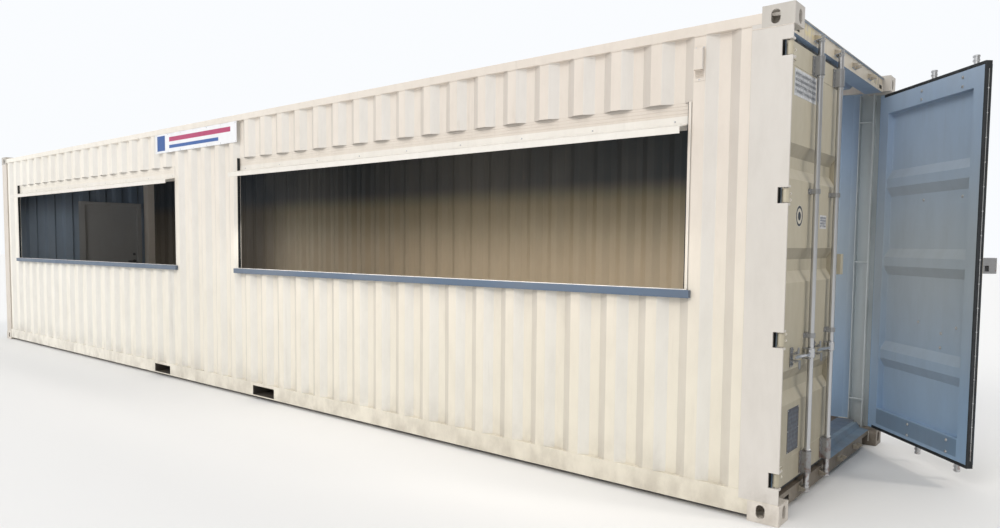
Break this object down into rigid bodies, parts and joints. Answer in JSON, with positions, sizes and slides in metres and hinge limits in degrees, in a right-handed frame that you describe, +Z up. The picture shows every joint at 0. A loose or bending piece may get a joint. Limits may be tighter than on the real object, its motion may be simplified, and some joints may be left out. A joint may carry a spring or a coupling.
{
  "type": "shipping container cabin",
  "caption": "High cube shipping container turned into a cabin, with wide shuttered windows in one long side, a personnel door in the blind end and cargo doors with lock rods.",
  "frame": {"origin": "on the ground, at the centre of the four bottom corner casting slots", "axes": "+X along the length towards the cargo doors, +Y across towards the closed long wall (windows face -Y), +Z up"},
  "size_m": [13.0331, 2.537, 2.896],
  "materials": {
    "cream_paint": "satin",
    "white_paint": "satin",
    "blue_grey_paint": "satin",
    "inner_paint": "satin",
    "grey_paint": "satin",
    "galvanised": "satin",
    "seal_rubber": "matte",
    "floor_wood": "matte",
    "sign_panel": "satin"
  },
  "bodies": {
    "container": {"castings_bottom_door": "cream_paint", "castings_bottom_blind": "cream_paint", "castings_top_door": "cream_paint", "castings_top_blind": "cream_paint", "post_door_near": "cream_paint", "post_door_far": "cream_paint", "post_blind_near": "cream_paint", "post_blind_far": "cream_paint", "door_header": "cream_paint", "door_sill": "cream_paint", "blind_top_rail": "cream_paint", "blind_bottom_rail": "cream_paint", "bottom_rail_near": "cream_paint", "bottom_rail_far": "cream_paint", "top_rail_near": "cream_paint", "top_rail_far": "cream_paint", "cross_members_blind": "inner_paint", "cross_members_mid": "inner_paint", "cross_members_door": "inner_paint", "fork_pocket_blind": "cream_paint", "fork_pocket_door": "cream_paint", "floor_deck": "floor_wood", "threshold_plate": "blue_grey_paint", "wall_near_low": "cream_paint", "wall_near_top": "cream_paint", "wall_near_blind": "cream_paint", "wall_near_mid": "cream_paint", "wall_near_door": "cream_paint", "wall_far": "cream_paint", "wall_blind_near": "cream_paint", "wall_blind_far": "cream_paint", "wall_blind_over": "cream_paint", "roof_panel": "cream_paint", "window_frame_1": "white_paint", "window_frame_2": "white_paint", "window_sill_1": "blue_grey_paint", "window_sill_2": "blue_grey_paint", "shutter_bar_1": "white_paint", "shutter_bar_2": "white_paint", "shutter_hood_1": "white_paint", "shutter_hood_2": "white_paint", "sign_board": "sign_panel", "vent_cover": "white_paint", "man_door_frame": "grey_paint"},
    "cargo_door_near": {"cargo_leaf_near": "cream_paint", "cargo_gasket_near": "seal_rubber", "rod_brackets_near": "galvanised"},
    "cargo_rod_near_1": {"lock_rod_near_1": "galvanised"},
    "cargo_rod_near_2": {"lock_rod_near_2": "galvanised"},
    "cargo_door_far": {"cargo_leaf_far": "cream_paint", "cargo_gasket_far": "seal_rubber", "rod_brackets_far": "galvanised"},
    "cargo_rod_far_1": {"lock_rod_far_1": "galvanised"},
    "cargo_rod_far_2": {"lock_rod_far_2": "galvanised"},
    "man_door": {"man_door_leaf": "grey_paint", "man_door_lockset": "galvanised"},
    "man_lever": {"man_door_lever": "galvanised"}
  },
  "joints": [
    {"name": "cargo_near_hinge", "type": "hinge", "parent": "container", "child": "cargo_door_near", "pos_m": [6.066, -1.184, 0.17], "axis": [0, 0, 1], "range_deg": [-240, 0]},
    {"name": "cargo_far_hinge", "type": "hinge", "parent": "container", "child": "cargo_door_far", "pos_m": [6.066, 1.184, 0.17], "axis": [0, 0, 1], "range_deg": [-42, 198]},
    {"name": "rod_near_1_turn", "type": "hinge", "parent": "cargo_door_near", "child": "cargo_rod_near_1", "pos_m": [6.07, -0.645, 0.925], "axis": [0, 0, 1], "range_deg": [0, 100]},
    {"name": "rod_near_2_turn", "type": "hinge", "parent": "cargo_door_near", "child": "cargo_rod_near_2", "pos_m": [6.07, -0.215, 0.925], "axis": [0, 0, 1], "range_deg": [0, 100]},
    {"name": "rod_far_1_turn", "type": "hinge", "parent": "cargo_door_far", "child": "cargo_rod_far_1", "pos_m": [6.42963, 0.78612, 0.925], "axis": [0, 0, 1], "range_deg": [-100, 0]},
    {"name": "rod_far_2_turn", "type": "hinge", "parent": "cargo_door_far", "child": "cargo_rod_far_2", "pos_m": [6.71736, 0.46657, 0.925], "axis": [0, 0, 1], "range_deg": [-100, 0]},
    {"name": "man_door_hinge", "type": "hinge", "parent": "container", "child": "man_door", "pos_m": [-6.099, -0.0275, 0.2], "axis": [0, 0, 1], "range_deg": [0, 110]},
    {"name": "man_lever_turn", "type": "hinge", "parent": "man_door", "child": "man_lever", "pos_m": [-6.0695, 0.855, 1.225], "axis": [1, 0, 0], "range_deg": [0, 45], "stiffness_Nm_per_rad": 0.8, "springref_deg": -20.05}
  ]
}
